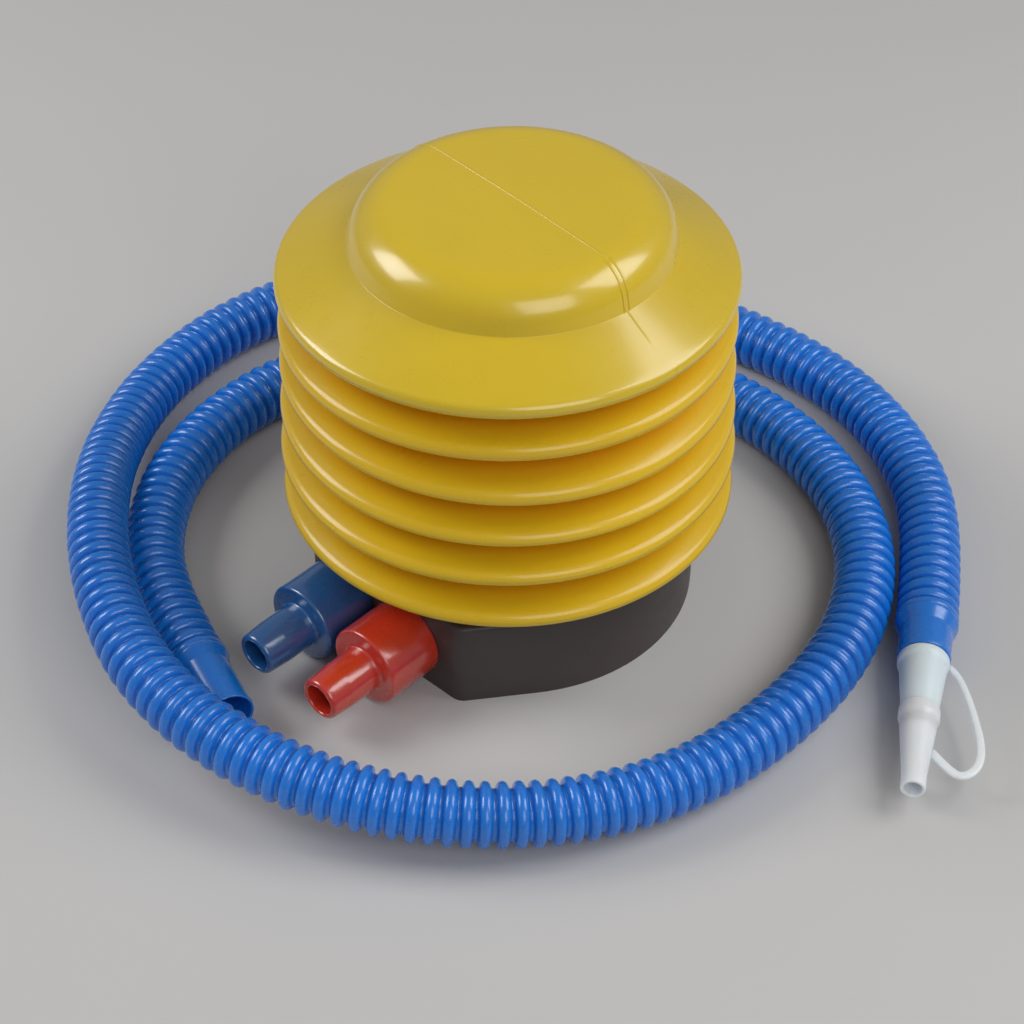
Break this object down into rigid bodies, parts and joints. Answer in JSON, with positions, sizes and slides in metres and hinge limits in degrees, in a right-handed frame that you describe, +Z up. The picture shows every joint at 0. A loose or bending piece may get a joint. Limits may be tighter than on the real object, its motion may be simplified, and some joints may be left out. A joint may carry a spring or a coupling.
{
  "type": "foot air pump",
  "caption": "Foot-operated bellows air pump: domed yellow bellows on a dark D-shaped base with inflate and deflate ports, and a loose corrugated hose ending in a translucent nozzle.",
  "frame": {"origin": "on the bellows axis, on the surface that the base stands on", "axes": "+Z up along the bellows axis, -Y from the axis towards the two ports, inflate port at -X and deflate port at +X"},
  "size_m": [0.3054, 0.2661, 0.1318],
  "materials": {
    "bellows_plastic": "semi-gloss moulded yellow plastic",
    "base_plastic": "satin dark grey moulded plastic",
    "blue_port": "semi-gloss dark blue plastic",
    "red_port": "semi-gloss red plastic",
    "hose_blue": "glossy blue flexible plastic",
    "nozzle_plastic": "milky translucent plastic",
    "steel": "zinc-plated steel",
    "rubber": "soft black rubber"
  },
  "bodies": {
    "pump": {"base_housing": "base_plastic", "air_ducts": "base_plastic", "base_plate": "base_plastic", "base_screws": "steel", "duct_gasket": "rubber", "bellows_folds": "bellows_plastic", "bellows_clamp_ring": "base_plastic", "clamp_screws": "steel", "return_spring": "steel", "inflate_port": "blue_port", "inflate_port_o_ring": "rubber", "deflate_port": "red_port", "deflate_port_o_ring": "rubber", "outlet_valve_cage": "base_plastic", "inlet_valve_cage": "base_plastic", "hose_tube": "hose_blue", "hose_cuff_pump_end": "hose_blue", "hose_cuff_nozzle_end": "hose_blue"},
    "foot_pad": {"bellows_top": "bellows_plastic", "spring_top_seat": "base_plastic"},
    "outlet_disc": {"outlet_valve_disc": "rubber"},
    "inlet_disc": {"inlet_valve_disc": "rubber"},
    "adapter": {"nozzle_adapter": "nozzle_plastic"},
    "tip": {"nozzle_tip": "nozzle_plastic", "nozzle_tether": "nozzle_plastic"}
  },
  "joints": [
    {"name": "bellows_press", "type": "slide", "parent": "pump", "child": "foot_pad", "axis": [0, 0, -1], "range_m": [0, 0.05], "stiffness_N_per_m": 1200, "springref_m": -0.02, "deforming": ["bellows_folds", "return_spring"]},
    {"name": "outlet_valve_lift", "type": "slide", "parent": "pump", "child": "outlet_disc", "axis": [0, 0, -1], "range_m": [0, 0.002], "stiffness_N_per_m": 8},
    {"name": "inlet_valve_lift", "type": "slide", "parent": "pump", "child": "inlet_disc", "axis": [0, 0, 1], "range_m": [0, 0.002], "stiffness_N_per_m": 8},
    {"name": "adapter_pull", "type": "slide", "parent": "pump", "child": "adapter", "axis": [0.5274, -0.8496, 0], "range_m": [0, 0.014]},
    {"name": "tip_pull", "type": "slide", "parent": "adapter", "child": "tip", "axis": [0.5274, -0.8496, 0], "range_m": [0, 0.01]}
  ]
}
